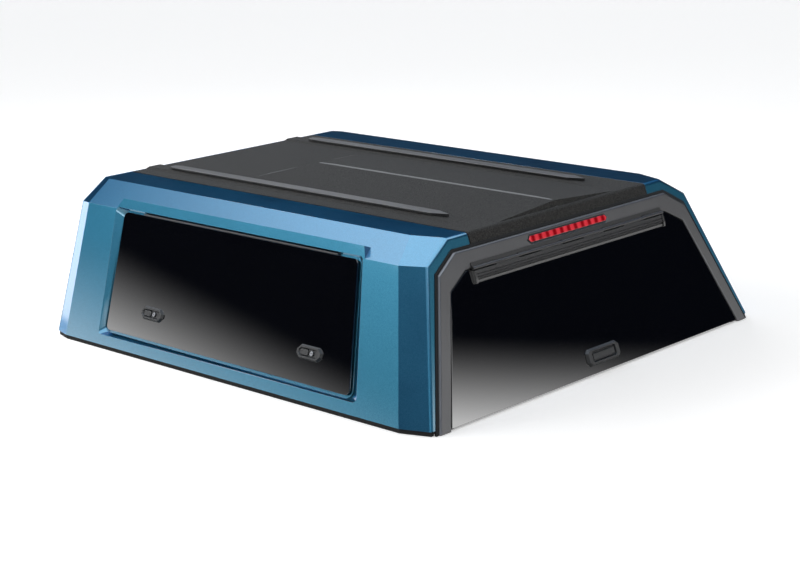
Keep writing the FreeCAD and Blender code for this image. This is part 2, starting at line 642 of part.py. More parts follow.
def rear_latch():
    """The gearbox behind the handle with its two drawn-in bolts on the glass."""
    u = HANDLE_Z / math.cos(REAR_RAKE)
    inner = REAR_GLASS_OUT - GLASS_T
    box = LATCH_BOX
    guide = BOLT_GUIDE
    bolt = LATCH_BOLT
    bolt_n = inner - box["depth"] / 2
    shapes = [rear.block((-box["half_w"], box["half_w"]), (u - box["half_u"], u + box["half_u"]),
                         (inner - box["depth"], inner))]
    for sign in (-1, 1):
        shapes.append(rear.block((sign * guide["start"], sign * guide["end"]),
                                 (u - guide["half_u"], u + guide["half_u"]), (inner - guide["depth"], inner)))
        shapes.append(rear.round_bar((sign * bolt["start"], u, bolt_n), (sign * bolt["end"], u, bolt_n),
                                     bolt["radius"]))
    return fused(shapes)


def strut_points(axis):
    """(n, u) of the fixed eye and of the door stud, from a hinge axis."""
    return ((axis[0] + STRUT_ANCHOR[0], axis[1] + STRUT_ANCHOR[1]),
            (axis[0] + STRUT_STUD[0], axis[1] + STRUT_STUD[1]))


def eye(panel, w, centre):
    n, u = centre
    ring = panel.round_bar((w - EYE_T / 2, u, n), (w + EYE_T / 2, u, n), EYE_R)
    return ring, panel.round_bar((w - EYE_T, u, n), (w + EYE_T, u, n), EYE_BORE_R)


def strut(panel, axis, w):
    """A gas strut lying closed in a plane across the hinge: its cylinder and its rod."""
    anchor, stud = strut_points(axis)
    length = math.hypot(stud[0] - anchor[0], stud[1] - anchor[1])
    way = ((stud[0] - anchor[0]) / length, (stud[1] - anchor[1]) / length)

    def bar(start, end, radius):
        points = [(w, anchor[1] + way[1] * d, anchor[0] + way[0] * d) for d in (start, end)]
        return panel.round_bar(points[0], points[1], radius)

    tube_end = length - TUBE_SHORT
    ring, bore = eye(panel, w, anchor)
    tube = bar(EYE_R - 1, tube_end, TUBE_R).cut(bar(2 * EYE_R, tube_end - TUBE_END, TUBE_R - 2))
    tube = tube.cut(bar(tube_end - TUBE_END, tube_end + 1, ROD_R + RUNNING))
    cylinder = tube.fuse(ring).cut(bore)
    ring, bore = eye(panel, w, stud)
    rod = bar(3 * EYE_R, length - EYE_R + 1, ROD_R).fuse(ring).cut(bore)
    return cylinder, rod


def fixed_bracket(panel, axis, w, outward, seat_n, reach):
    """The standing ear and pin at a strut's fixed eye, on a foot that reaches its jamb."""
    (n, u), _ = strut_points(axis)
    ear_w = w + outward * EYE_T
    foot = panel.block((ear_w, ear_w + outward * reach), (u - 11, u + 11), seat_n)
    ear_n = sorted((n - EYE_R, n + EYE_R, seat_n[0], seat_n[1]))
    ear = panel.block((ear_w, ear_w + outward * 4), (u - 11, u + 11), (ear_n[0], ear_n[-1]))
    pin = panel.round_bar((w - outward * (EYE_T / 2 + 2), u, n), (ear_w + outward, u, n), STRUT_PIN_R)
    return fused([foot, ear, pin])


def door_stud(panel, axis, w, outward, inner_n):
    """The plate on the glass with the short stud beside the rod's eye."""
    _, (n, u) = strut_points(axis)
    ear_w = w + outward * EYE_T
    plate_end = ear_w + outward * 6
    plate = panel.block((plate_end - outward * STUD_PLATE_W, plate_end),
                        (u - STUD_PLATE_W / 2, u + STUD_PLATE_W / 2), (inner_n - 3, inner_n))
    ear = panel.block((ear_w, ear_w + outward * 4), (u - EYE_R, u + EYE_R), (n - EYE_R, inner_n))
    pin = panel.round_bar((ear_w + outward, u, n), (w + outward * (EYE_T / 2 + 1.5), u, n), STRUT_PIN_R)
    return fused([plate, ear, pin])


def base_rail():
    """The right base rail: a flange along the skirt with the clamp holes, and a leg up the skin."""
    lean = math.tan(SIDE_LEAN)
    skin_x = SKIRT_HALF - SKIN / math.cos(SIDE_LEAN)
    low = BASE_SEAL_H
    x_in = SKIRT_HALF - RAIL_W
    profile = [(x_in, low), (skin_x, low), (skin_x - RAIL_LEG * lean, low + RAIL_LEG),
               (skin_x - RAIL_LEG * lean - RAIL_T, low + RAIL_LEG), (skin_x - RAIL_T - RAIL_T * lean, low + RAIL_T),
               (x_in, low + RAIL_T)]
    points = [V(x, -LENGTH, z) for x, z in profile]
    rail = Part.Face(Part.makePolygon(points + points[:1])).extrude(V(0, 2 * LENGTH, 0))
    rail = rail.common(hollow).cut(beyond(rear.origin, rear.n, FRAME_DEPTH)).cut(front_slab)
    for y in CLAMP_HOLES_Y:
        rail = rail.cut(Part.makeCylinder(CLAMP_HOLE_R, 4 * RAIL_T, V(SKIRT_HALF - CLAMP_HOLE_IN, y, 0)))
    return rail


def front_rail():
    """The flange along the front wall between the side rails."""
    x = SKIRT_HALF - RAIL_W
    y = front_y(BASE_SEAL_H) - RAIL_W
    flange = between(V(-x, y, BASE_SEAL_H), V(x, LENGTH, BASE_SEAL_H + RAIL_T))
    y_leg = front_y(BASE_SEAL_H) - SKIN - RAIL_T
    leg = between(V(-x, y_leg, BASE_SEAL_H), V(x, LENGTH, BASE_SEAL_H + RAIL_LEG))
    return flange.fuse(leg).removeSplitter().cut(front_slab)


def base_seal():
    """The strip that the canopy stands on, round both sides and the front."""
    low = BASE_SEAL_H
    corner_rear = (SKIRT_HALF - REAR_FACET["foot_in"], rear_y(low))
    kink_rear = (SKIRT_HALF, rear_y(low) + REAR_FACET["foot"])
    kink_front = (SKIRT_HALF, front_y(low) - FRONT_FACET["foot"])
    corner_front = (SKIRT_HALF - FRONT_FACET["foot_in"], front_y(low))
    right = [corner_rear, kink_rear, kink_front, corner_front]
    plan = right + [(-x, y) for x, y in reversed(right)]
    outline = inset(plan, SEAL_SET_IN)
    inner = inset(plan, [RAIL_W] * 7 + [-BIG / 10])

    def lift(points):
        corners = [V(x, y, 0) for x, y in points]
        return Part.Face(Part.makePolygon(corners + corners[:1])).extrude(V(0, 0, BASE_SEAL_H))

    seal = lift(outline).cut(lift(inner))
    seal = seal.cut(rear.slab(inset(frame_edge, -FRAME_GASKET_W), -FRAME_DEPTH, FRAME_PROUD))
    for y in CLAMP_HOLES_Y:
        hole = Part.makeCylinder(CLAMP_HOLE_R + CLAMP_HOLE_SLACK, 4 * BASE_SEAL_H,
                                 V(SKIRT_HALF - CLAMP_HOLE_IN, y, -BASE_SEAL_H))
        seal = seal.cut(hole).cut(mirrored(hole))
    return seal


def roof_braces():
    """Two bows under the roof that follow its inner face down onto the chamfers."""
    inner = body(SKIN + BRACE_DEPTH, floor=-BASE_SEAL_H)
    bows = []
    for y in BRACES_Y:
        span = between(V(-SKIRT_HALF, y, BRACE_FOOT), V(SKIRT_HALF, y + BRACE_W, TOP_Z))
        bows.append(hollow.cut(inner).common(span))
    return Part.makeCompound(bows)


def solids(shape):
    """The solids of a shape, as one solid or a compound."""
    found = shape.removeSplitter().Solids
    return found[0] if len(found) == 1 else Part.makeCompound(found)


def both(nodes, name, shape):
    """Adds a right-hand piece and its mirror image."""
    nodes[name + "_right"] = shape
    nodes[name + "_left"] = mirrored(shape)


def build():
    nodes = {}
    skin = shell()
    both(nodes, "side_panel", side_panel(skin))
    nodes["roof_panel"] = roof_panel(skin)
    below = rear_opened(body(SEAM_SUNK).cut(hollow).cut(front_slab))
    both(nodes, "roof_seam", roof_seam(below))
    both(nodes, "roof_track", roof_track())
    nodes["front_panel"], nodes["front_window"], nodes["front_window_seal"] = front_parts()
    frame, nodes["brake_lamp_housing"], nodes["brake_lamp_lens"] = lamp_parts(rear_frame())
    nodes["rear_frame"] = frame
    nodes["rear_frame_gasket"], nodes["rear_door_seal"] = rear_seals()
    both(nodes, "base_rail", base_rail())
    nodes["base_rail_front"] = front_rail()
    nodes["base_seal"] = base_seal()
    nodes["roof_braces"] = roof_braces()

    nodes["rear_glass"] = rear_glass()
    nodes["rear_hinge_fixed"], nodes["rear_hinge_rail"] = rear_hinge()
    nodes["rear_handle_housing"], nodes["rear_handle_paddle"] = rear_handle()
    nodes["rear_latch"] = rear_latch()

    both(nodes, "side_glass", side_glass())
    both(nodes, "side_door_seal", side_seal())
    fixed, moving = side_hinge()
    both(nodes, "side_hinge_fixed", fixed)
    both(nodes, "side_hinge_leaf", moving)
    both(nodes, "side_locks", side_locks())

    rear_axis = (REAR_AXIS_N, rear_axis_u)
    side_axis = (SIDE_AXIS_N, side_axis_u)
    cylinder, rod = strut(rear, rear_axis, REAR_STRUT_X)
    both(nodes, "rear_strut_cylinder", cylinder)
    both(nodes, "rear_strut_rod", rod)
    inner = REAR_GLASS_OUT - GLASS_T
    stud = door_stud(rear, rear_axis, REAR_STRUT_X, 1, inner)
    nodes["rear_studs"] = Part.makeCompound([stud, mirrored(stud)])
    seat = (-FRAME_DEPTH + 4, -8.0)
    bracket = fixed_bracket(rear, rear_axis, REAR_STRUT_X, 1, seat, 3 * LEDGE).cut(frame)
    bracket = max(bracket.Solids, key=lambda s: s.Volume)
    brackets = [bracket, mirrored(bracket)]
    studs = []
    for place, outward in (("front", 1), ("rear", -1)):
        w = SIDE_STRUT_Y[place]
        cylinder, rod = strut(side, side_axis, w)
        both(nodes, "side_strut_cylinder_" + place, cylinder)
        both(nodes, "side_strut_rod_" + place, rod)
        studs.append(door_stud(side, side_axis, w, outward, -SIDE_GLASS_SUNK - GLASS_T))
        bracket = fixed_bracket(side, side_axis, w, outward, (PAN_N - 4, PAN_N), FOOT_REACH[place])
        brackets += [bracket, mirrored(bracket)]
    both(nodes, "side_studs", Part.makeCompound(studs))
    nodes["strut_brackets"] = Part.makeCompound(brackets)
    return nodes


os.makedirs("parts", exist_ok=True)
for name, shape in build().items():
    solids(shape).exportStep("parts/" + name + ".step")
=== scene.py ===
# Looks of a hard pickup canopy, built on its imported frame. Metres, X right, Y forward, Z up.
import json
import math

import bmesh
import bpy
from mathutils import Matrix, Vector
from mathutils.bvhtree import BVHTree


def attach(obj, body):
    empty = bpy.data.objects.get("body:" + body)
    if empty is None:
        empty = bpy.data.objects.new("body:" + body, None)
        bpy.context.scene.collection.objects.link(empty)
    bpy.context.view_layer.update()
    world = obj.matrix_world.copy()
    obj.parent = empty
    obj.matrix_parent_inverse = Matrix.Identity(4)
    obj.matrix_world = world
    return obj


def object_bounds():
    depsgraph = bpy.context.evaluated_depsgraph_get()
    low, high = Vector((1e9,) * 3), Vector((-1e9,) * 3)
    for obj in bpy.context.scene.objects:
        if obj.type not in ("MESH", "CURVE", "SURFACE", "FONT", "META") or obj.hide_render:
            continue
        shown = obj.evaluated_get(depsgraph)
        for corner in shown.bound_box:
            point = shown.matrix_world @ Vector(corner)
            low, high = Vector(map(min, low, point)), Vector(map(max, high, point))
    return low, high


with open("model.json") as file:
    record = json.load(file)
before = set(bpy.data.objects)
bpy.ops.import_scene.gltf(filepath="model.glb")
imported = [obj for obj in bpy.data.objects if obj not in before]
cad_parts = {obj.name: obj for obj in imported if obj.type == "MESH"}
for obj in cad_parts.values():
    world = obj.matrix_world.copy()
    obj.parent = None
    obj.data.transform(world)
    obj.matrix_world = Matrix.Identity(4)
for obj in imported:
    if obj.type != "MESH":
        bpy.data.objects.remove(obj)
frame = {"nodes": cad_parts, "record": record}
nodes = frame["nodes"]
cad_low, cad_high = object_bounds()
BODY_OF = {node: body for body, members in frame["record"]["behaviour"]["bodies"].items() for node in members}

# Camera: the photograph's own place, turned to the canopy and brought closer by a longer lens
CAMERA_AT = Vector((-4.628, -4.390, 1.815))
CAMERA_AIM = Vector((-0.021, -0.013, 0.149))
CAMERA_ROLL = math.radians(1.49)
PHOTO_WIDTH_PX = 800
PHOTO_FOCAL_PX = 1245.9
CLOSER = 1.5
SENSOR_MM = 36.0

# Studio, by direction: even light for dull surfaces; for gloss a low glow, dark walls and a pale ceiling.
# The glow's edge is lower to the rear right and at the sides than to the front left.
EVEN_LEVEL = 0.62
GLOW_SLOPE = (0.240, 0.212, 1.0)
GLOW_BULGE = 0.317
GLOW_FADE = (0.070, 0.011)
GLOW_CAP = (0.22, 0.28)
GLOW_SIDES = (0.10, 0.32)
GLOW_LEVEL = 3.5
HORIZON_FADE = (0.08, 0.11)
WALL_LEVEL = 0.015
WALL_TINT = (0.35, 0.50, 1.0, 1.0)
SKY_START = (0.30, 0.42)
SKY_LEVEL = 0.2
SKY_TINT = (0.08, 0.28, 1.0, 1.0)
CEILING_FADE = (0.58, 0.76)
CEILING_LEVEL = 3.9
CEILING_TINT = (0.80, 0.89, 1.0, 1.0)
FLOOR_LIFT = 0.30
LAMP_CELL = 0.018
WHITE = (1.0, 1.0, 1.0, 1.0)

# Edge radii by finish
EDGES = {"body_paint": 0.005, "roof_texture": 0.003, "frame_coat": 0.003, "tinted_glass": 0.0012,
         "black_rail": 0.0006, "seal_rubber": 0.0010, "black_plastic": 0.0012, "lamp_red": 0.0012,
         "strut_tube": 0.0008, "strut_rod": 0.0005}

# Nodes whose finish isn't their slot's
# The roof tracks take a pale grey finish: a painted sheen on their lit tops.
OTHER_FINISH = {"roof_track_left": "track_painted_sheen", "roof_track_right": "track_painted_sheen"}

# Nodes whose fine ribs take no rounding
RIBBED = ("rear_hinge_rail", "rear_hinge_fixed")

# Panels that meet at more than this angle, in radians, along more than this length stay crisp
FACET_ANGLE = 0.07
FACET_LENGTH = 0.1

# The body's sides, as the frame has them
SKIRT_HALF = 0.866
BASE_SEAL_H = 0.015
SIDE_LEAN = math.atan2(0.170, 0.439)

# Side locks: Y and Z of each, how far behind it the key is, and the key's face out of the side's plane
SIDE_LOCKS = (("rear", -0.358, 0.155), ("front", 0.400, 0.150))
KEY_BEHIND = 0.01375
KEY_TOP_N = -0.0080

# Creases pressed into the roof
CREASES = {"ridge": ((0.0, 0.40), (0.0, -0.70)), "cross": ((-0.24, 0.457), (0.24, 0.457))}
CREASE_HALF = 0.007
CREASE_H = 0.0030
CREASE_STEP = 0.02

# Lamps: name, place, aim, width and height, and watts
LAMPS = (
    ("key", (-3.35, 3.16, 3.0), (-0.7, 0, 0.3), (4.2, 2.2), 150.0),
    ("front_strip", (1.6, 3.0, 3.3), (0, 0, 0.5), (2.5, 0.5), 30.0),
    ("rim", (-5.6, -5.2, 2.6), (0, 0, 0.3), (1.0, 2.5), 80.0),
)


def linear(*colour):
    """Turns a colour as seen on screen, 0 to 255, into the shader's values."""
    return tuple((c / 255 / 12.92) if c <= 10 else ((c / 255 + 0.055) / 1.055) ** 2.4 for c in colour)


class Finish:
    """A procedural material: plain socket values first, then textures wired to colour, roughness and bump."""

    def __init__(self, name, colour, roughness, **sockets):
        self.material = bpy.data.materials.new(name)
        self.material.use_nodes = True
        self.tree = self.material.node_tree
        self.shader = self.tree.nodes["Principled BSDF"]
        self.colour = (*colour, 1.0)
        self.set("Base Color", self.colour)
        self.set("Roughness", roughness)
        for name, value in sockets.items():
            self.set(name.replace("_", " "), value)
        self.place = self.tree.nodes.new("ShaderNodeTexCoord").outputs["Object"]

    def set(self, socket, value):
        self.shader.inputs[socket].default_value = value

    def wire(self, output, socket):
        self.tree.links.new(output, self.shader.inputs[socket])

    def noise(self, scale, detail=3.0, stretch=(1.0, 1.0, 1.0)):
        mapping = self.tree.nodes.new("ShaderNodeMapping")
        mapping.inputs["Scale"].default_value = stretch
        self.tree.links.new(self.place, mapping.inputs["Vector"])
        node = self.tree.nodes.new("ShaderNodeTexNoise")
        node.inputs["Scale"].default_value = scale
        node.inputs["Detail"].default_value = detail
        self.tree.links.new(mapping.outputs["Vector"], node.inputs["Vector"])
        return node.outputs["Fac"]

    def cells(self, scale, feature="F1", output="Distance"):
        node = self.tree.nodes.new("ShaderNodeTexVoronoi")
        node.feature = feature
        node.inputs["Scale"].default_value = scale
        self.tree.links.new(self.place, node.inputs["Vector"])
        return node.outputs[output]

    def spread(self, source, low, high, start=0.3, end=0.7):
        """Maps a texture's start..end to low..high."""
        node = self.tree.nodes.new("ShaderNodeMapRange")
        for socket, value in (("From Min", start), ("From Max", end), ("To Min", low), ("To Max", high)):
            node.inputs[socket].default_value = value
        self.tree.links.new(source, node.inputs["Value"])
        return node.outputs["Result"]

    def blend(self, factor, first, second):
        """A colour between two, by a texture."""
        node = self.tree.nodes.new("ShaderNodeMix")
        node.data_type = "RGBA"
        node.inputs["A"].default_value = (*first, 1.0)
        node.inputs["B"].default_value = (*second, 1.0)
        self.tree.links.new(factor, node.inputs["Factor"])
        return node.outputs["Result"]

    def bump(self, height, depth, strength=1.0):
        node = self.tree.nodes.new("ShaderNodeBump")
        node.inputs["Distance"].default_value = depth
        node.inputs["Strength"].default_value = strength
        self.tree.links.new(height, node.inputs["Height"])
        self.wire(node.outputs["Normal"], "Normal")


def body_paint():
    """Deep teal-blue metallic paint: fine flake and a slight cloudiness under clear coat."""
    finish = Finish("body_paint", linear(41, 92, 112), 0.32, Metallic=0.9, Coat_Weight=1.0,
                    Coat_Roughness=0.05,
                    Specular_Tint=(0.25, 0.5, 1.0, 1.0))
    flake = finish.spread(finish.cells(800.0, output="Color"), 0.0, 1.0, 0.2, 0.8)
    finish.wire(finish.blend(flake, linear(35, 85, 104), linear(49, 100, 121)), "Base Color")
    finish.wire(finish.spread(finish.noise(5.0), 0.30, 0.35), "Roughness")
    return finish


def inner_liner():
    """The bare inner faces: dark gel coat over the weave of the laminate."""
    finish = Finish("inner_liner", linear(66, 67, 69), 0.62)
    finish.wire(finish.blend(finish.noise(22.0, 5.0), linear(56, 57, 59), linear(78, 79, 81)), "Base Color")
    finish.bump(finish.cells(420.0), 0.0012, 0.5)
    return finish


def roof_texture():
    """Charcoal grained coating, slightly uneven."""
    finish = Finish("roof_texture", linear(38, 37, 36), 0.8, Specular_IOR_Level=0.15)
    finish.wire(finish.blend(finish.spread(finish.noise(260.0, 6.0), 0.0, 1.0, 0.35, 0.65),
                             linear(18, 17, 16), linear(56, 55, 53)), "Base Color")
    finish.bump(finish.noise(420.0, 5.0), 0.0016, 0.9)
    return finish


def frame_coat():
    """Satin grey moulding with a fine grain."""
    finish = Finish("frame_coat", linear(82, 82, 83), 0.34, Metallic=0.7)
    finish.wire(finish.blend(finish.noise(8.0), linear(77, 77, 78), linear(88, 88, 89)), "Base Color")
    finish.bump(finish.noise(1400.0, 3.0), 0.0004, 0.5)
    return finish


def tinted_glass():
    """Near-black privacy glass."""
    finish = Finish("tinted_glass", linear(4, 4, 5), 0.02, IOR=2.1)
    finish.wire(finish.spread(finish.noise(3.0), 0.015, 0.03), "Roughness")
    return finish


def black_rail():
    """Black-coated metal with a very fine orange peel."""
    finish = Finish("black_rail", linear(26, 26, 27), 0.32)
    finish.wire(finish.spread(finish.noise(240.0), 0.28, 0.36), "Roughness")
    finish.bump(finish.noise(500.0), 0.0002, 0.3)
    return finish


def track_painted_sheen():
    """Satin anodised extrusion, drawn along its length; its pale grey is a painted sheen for the lit top of a
    black track.
    """
    finish = Finish("track_painted_sheen", linear(96, 95, 93), 0.36, Metallic=0.6)
    finish.wire(finish.spread(finish.noise(90.0, stretch=(1.0, 0.04, 1.0)), 0.32, 0.44), "Roughness")
    return finish


def seal_rubber():
    finish = Finish("seal_rubber", linear(12, 12, 12), 0.8, Specular_IOR_Level=0.25)
    finish.bump(finish.noise(700.0), 0.0004, 0.5)
    return finish


def black_plastic():
    finish = Finish("black_plastic", linear(15, 17, 19), 0.4, Specular_IOR_Level=0.35)
    finish.bump(finish.noise(1600.0), 0.0002, 0.4)
    return finish


def lamp_red():
    """Red lens over a row of small cells, each with a bright middle."""
    finish = Finish("lamp_red", linear(206, 20, 34), 0.1, Coat_Weight=1.0)
    row = finish.tree.nodes.new("ShaderNodeTexWave")
    row.wave_profile = "SIN"
    row.inputs["Scale"].default_value = 0.5 * math.pi / LAMP_CELL / 10
    finish.tree.links.new(finish.place, row.inputs["Vector"])
    cell = finish.spread(row.outputs["Fac"], 0.0, 1.0, 0.1, 0.8)
    finish.wire(finish.blend(cell, linear(158, 2, 16), linear(250, 62, 74)), "Base Color")
    finish.wire(finish.spread(finish.noise(40.0), 0.08, 0.14), "Roughness")
    finish.bump(row.outputs["Fac"], 0.0015, 0.6)
    return finish


def strut_tube():
    finish = Finish("strut_tube", linear(22, 22, 23), 0.35, Metallic=0.2)
    finish.wire(finish.spread(finish.noise(80.0), 0.3, 0.42), "Roughness")
    return finish


def strut_rod():
    finish = Finish("strut_rod", linear(200, 200, 204), 0.12, Metallic=1.0)
    finish.wire(finish.spread(finish.noise(90.0), 0.1, 0.16), "Roughness")
    return finish


def key_metal():
    """Nickel-plated key cylinder, finely turned."""
    finish = Finish("key_metal", linear(112, 113, 116), 0.35, Metallic=1.0)
    finish.wire(finish.spread(finish.noise(900.0), 0.3, 0.42), "Roughness")
    return finish


def roof_crease():
    """The roof's coating along a crease, painted paler as a highlight where the crease catches the light."""
    finish = Finish("roof_crease", linear(76, 76, 75), 0.6)
    finish.wire(finish.blend(finish.noise(30.0), linear(70, 70, 69), linear(86, 86, 85)), "Base Color")
    finish.bump(finish.noise(900.0, 4.0), 0.0008, 0.6)
    return finish


FINISHES = {f.__name__: f().material for f in (body_paint, inner_liner, roof_texture, frame_coat,
                                                tinted_glass,
                                               black_rail, seal_rubber, black_plastic, lamp_red, strut_tube,
                                               strut_rod, key_metal, roof_crease, track_painted_sheen)}


def crisp_facets():
    """Geometry nodes that keep a long edge between two panels crisp, where it is too shallow to round."""
    group = bpy.data.node_groups.new("crisp_facets", "GeometryNodeTree")
    for way in ("INPUT", "OUTPUT"):
        group.interface.new_socket("Geometry", in_out=way, socket_type="NodeSocketGeometry")
    add, link = group.nodes.new, group.links.new
    smooth, crisp = add("GeometryNodeSetShadeSmooth"), add("GeometryNodeSetShadeSmooth")
    smooth.domain = crisp.domain = "EDGE"
    smooth.inputs["Shade Smooth"].default_value = True
    crisp.inputs["Shade Smooth"].default_value = False
    ends = add("GeometryNodeInputMeshEdgeVertices")
    length = add("ShaderNodeVectorMath")
    length.operation = "DISTANCE"
    link(ends.outputs["Position 1"], length.inputs[0])
    link(ends.outputs["Position 2"], length.inputs[1])
    chosen = None
    for source, least in ((add("GeometryNodeInputMeshEdgeAngle").outputs["Unsigned Angle"], FACET_ANGLE),
                          (length.outputs["Value"], FACET_LENGTH)):
        test = add("FunctionNodeCompare")
        test.operation = "GREATER_THAN"
        link(source, test.inputs["A"])
        test.inputs["B"].default_value = least
        if chosen:
            both = add("FunctionNodeBooleanMath")
            link(chosen, both.inputs[0])
            link(test.outputs["Result"], both.inputs[1])
            chosen = both.outputs["Boolean"]
        else:
            chosen = test.outputs["Result"]
    link(chosen, crisp.inputs["Selection"])
    link(add("NodeGroupInput").outputs["Geometry"], smooth.inputs["Geometry"])
    link(smooth.outputs["Geometry"], crisp.inputs["Geometry"])
    link(crisp.outputs["Geometry"], add("NodeGroupOutput").inputs["Geometry"])
    return group


def soften(node, width, facets, segments=2):
    """Rounds a node's sharp edges: its facets are merged first, so that only real edges are left."""
    weld = node.modifiers.new("weld", "WELD")
    weld.merge_threshold = 1e-6
    flat = node.modifiers.new("flat", "DECIMATE")
    flat.decimate_type = "DISSOLVE"
    flat.angle_limit = math.radians(0.5)
    node.modifiers.new("facets", "NODES").node_group = facets
    bevel = node.modifiers.new("bevel", "BEVEL")
    bevel.width = width
    bevel.segments = segments
    bevel.limit_method = "ANGLE"
    bevel.angle_limit = math.radians(20)
    normals = node.modifiers.new("normals", "WEIGHTED_NORMAL")
    normals.weight = 100
    normals.keep_sharp = True


def dress_nodes():
    """Gives each carried-over node its slot's finish and softened edges."""
    facets = crisp_facets()
    for part in frame["record"]["subparts"]:
        node = nodes[part["node"]]
        slot = part["material_slot"]
        node.data.materials.clear()
        node.data.materials.append(FINISHES[OTHER_FINISH.get(part["node"], slot)])
        if part["node"] not in RIBBED:
            soften(node, EDGES[slot], facets)


def line_inside(node):
    """Gives the faces of a painted shell that look inwards the bare liner finish."""
    node.data.materials.append(FINISHES["inner_liner"])
    for face in node.data.polygons:
        centre, normal = face.center, face.normal
        across = 0.0 if abs(centre.x) < 0.3 else math.copysign(1.0, centre.x)
        outwards = Vector((across, 0.9 if "front" in node.name else 0.0, 0.5)).normalized()
        if normal.dot(outwards) < -0.25:
            face.material_index = 1


def shade_track_sides(node):
    """Paints shade on a track: its faces that stand upright, under its cap and beside it, take the black
    finish.
    """
    node.data.materials.append(FINISHES["black_rail"])
    for face in node.data.polygons:
        if abs(face.normal.z) < 0.5:
            face.material_index = 1


class Plane:
    """A working plane on the canopy: w along it, u up it, n out of it, with its origin at the foot."""

    def __init__(self, origin, w, u):
        self.origin, self.w, self.u = Vector(origin), Vector(w), Vector(u)
        self.n = self.w.cross(self.u)

    def at(self, w, u, n=0.0):
        return self.origin + self.w * w + self.u * u + self.n * n


def new_piece(name, builder, slot, body_of, shade_smooth=False):
    """Turns a bmesh into a piece that rides on the body of a carried-over node."""
    mesh = bpy.data.meshes.new(name)
    bmesh.ops.recalc_face_normals(builder, faces=builder.faces)
    builder.to_mesh(mesh)
    builder.free()
    piece = bpy.data.objects.new(name, mesh)
    bpy.context.scene.collection.objects.link(piece)
    mesh.materials.append(FINISHES[slot])
    for face in mesh.polygons:
        face.use_smooth = shade_smooth
    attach(piece, BODY_OF[body_of])
    return piece


def lathe(builder, plane, place, profile, count=24, squash=1.0):
    """Turns a profile of (radius, height) about the plane's normal at a place."""
    w, u, n = place
    rings = []
    for radius, height in profile:
        ring = []
        for i in range(count):
            angle = 2 * math.pi * i / count
            ring.append(builder.verts.new(plane.at(w + radius * math.cos(angle),
                                                   u + squash * radius * math.sin(angle), n + height)))
        rings.append(ring)
    for low, high in zip(rings, rings[1:]):
        for i in range(count):
            j = (i + 1) % count
            builder.faces.new((low[i], low[j], high[j], high[i]))
    builder.faces.new(rings[-1])
    builder.faces.new(list(reversed(rings[0])))


def key_cylinders():
    """The turned key cylinder in each side lock, with its keyway drawn as a thin dark disc: painted shade
    where the slot is.
    """
    for hand, sign in (("left", -1), ("right", 1)):
        plane = Plane((sign * SKIRT_HALF, 0, BASE_SEAL_H), (0, sign, 0),
                      (-sign * math.sin(SIDE_LEAN), 0, math.cos(SIDE_LEAN)))
        for place, y, z in SIDE_LOCKS:
            w = sign * (y - KEY_BEHIND)
            u = (z - BASE_SEAL_H) / math.cos(SIDE_LEAN)
            builder = bmesh.new()
            lathe(builder, plane, (w, u, KEY_TOP_N),
                  [(0.0062, -0.001), (0.0072, 0.0), (0.0072, 0.0004), (0.0066, 0.0009), (0.0052, 0.0009),
                   (0.0048, 0.0005), (0.0046, 0.0005)])
            new_piece("key_cylinder_%s_%s" % (place, hand), builder, "key_metal", "side_locks_" + hand, True)
            # The keyway is a dark disc laid on the cylinder's face: painted shade in place of a cut slot.
            builder = bmesh.new()
            lathe(builder, plane, (w, u, KEY_TOP_N + 0.0005),
                  [(0.0034, -0.0004), (0.0034, 0.0002), (0.003, 0.0003)],
                  12, 0.28)
            new_piece("keyway_%s_%s" % (place, hand), builder, "seal_rubber", "side_locks_" + hand)


def crease(name, start, end):
    """A low rounded bead along a crease of the roof, laid on the panel's own surface."""
    roof = nodes["roof_panel"]
    tree = BVHTree.FromPolygons([v.co for v in roof.data.vertices],
                                [list(f.vertices) for f in roof.data.polygons])
    start, end = Vector(start), Vector(end)
    along = (end - start).normalized()
    across = Vector((-along.y, along.x))
    builder = bmesh.new()
    rows = []
    count = max(2, int((end - start).length / CREASE_STEP))
    for i in range(count + 1):
        middle = start.lerp(end, i / count)
        fade = min(1.0, i / 4, (count - i) / 4)
        row = []
        for side, lift in ((-1.0, -0.4), (-0.6, 0.6), (0.0, 1.0), (0.6, 0.6), (1.0, -0.4)):
            spot = middle + across * (side * CREASE_HALF)
            hit = tree.ray_cast(Vector((spot.x, spot.y, 1.0)), Vector((0, 0, -1)))[0]
            height = (hit.z if hit else cad_high[2]) + lift * CREASE_H * fade
            row.append(builder.verts.new((spot.x, spot.y, height)))
        rows.append(row)
    for low, high in zip(rows, rows[1:]):
        for k in range(4):
            builder.faces.new((low[k], low[k + 1], high[k + 1], high[k]))
    # The bead's paler finish is a painted highlight along the crease.
    piece = new_piece(name, builder, "roof_crease", "roof_panel", True)


def camera():
    data = bpy.data.cameras.new("camera")
    data.sensor_width = SENSOR_MM
    data.lens = SENSOR_MM * PHOTO_FOCAL_PX * CLOSER / PHOTO_WIDTH_PX
    data.clip_end = 100.0
    eye = bpy.data.objects.new("camera", data)
    look = (CAMERA_AIM - CAMERA_AT).to_track_quat("-Z", "Y").to_matrix().to_4x4()
    eye.matrix_world = Matrix.Translation(CAMERA_AT) @ look @ Matrix.Rotation(-CAMERA_ROLL, 4, "Z")
    bpy.context.scene.collection.objects.link(eye)
    bpy.context.scene.camera = eye


